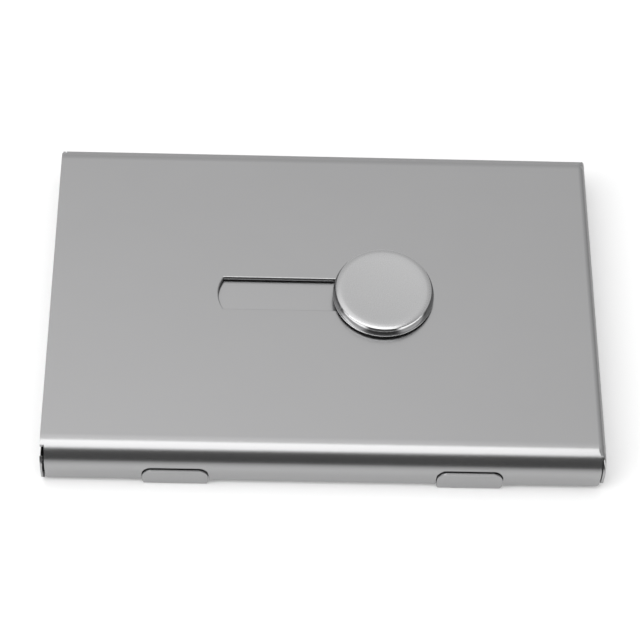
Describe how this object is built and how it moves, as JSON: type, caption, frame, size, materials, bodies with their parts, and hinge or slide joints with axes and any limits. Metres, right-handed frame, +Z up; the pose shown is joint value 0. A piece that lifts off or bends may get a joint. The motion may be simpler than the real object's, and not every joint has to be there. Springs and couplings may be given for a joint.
{
  "type": "business card case",
  "caption": "Slim hinged sheet metal case for business cards, with a round thumb button in a slot that slides the top card out of its end.",
  "frame": {"origin": "centre of the lid's flat underside, which lies on the table", "axes": "+X along the case from the card exit to the closed end, +Y from the hinge side to the back, +Z up through the thumb button"},
  "size_m": [0.0952, 0.0654, 0.0107],
  "materials": {
    "satin_aluminium": "fine satin, brushed lengthwise",
    "bright_aluminium": "satin top with a polished rim",
    "bright_steel": "bright drawn wire and strip",
    "black_nylon": "plain moulded"
  },
  "bodies": {
    "lid": {"bottom_lid": "satin_aluminium", "card_spring": "bright_steel", "spring_rivet_front": "bright_steel", "spring_rivet_back": "bright_steel"},
    "cover": {"cover_shell": "satin_aluminium", "hinge_pin_left": "bright_steel", "hinge_pin_right": "bright_steel"},
    "slider": {"slider_plate": "satin_aluminium", "guide_shoe": "black_nylon", "button_washer": "black_nylon", "thumb_button": "bright_aluminium", "button_rivet": "bright_steel"}
  },
  "joints": [
    {"name": "cover_hinge", "type": "hinge", "parent": "lid", "child": "cover", "pos_m": [0, -0.0315, 0.00105], "axis": [1, 0, 0], "range_deg": [0, 90]},
    {"name": "thumb_slide", "type": "slide", "parent": "cover", "child": "slider", "axis": [-1, 0, 0], "range_m": [0, 0.0236]}
  ]
}
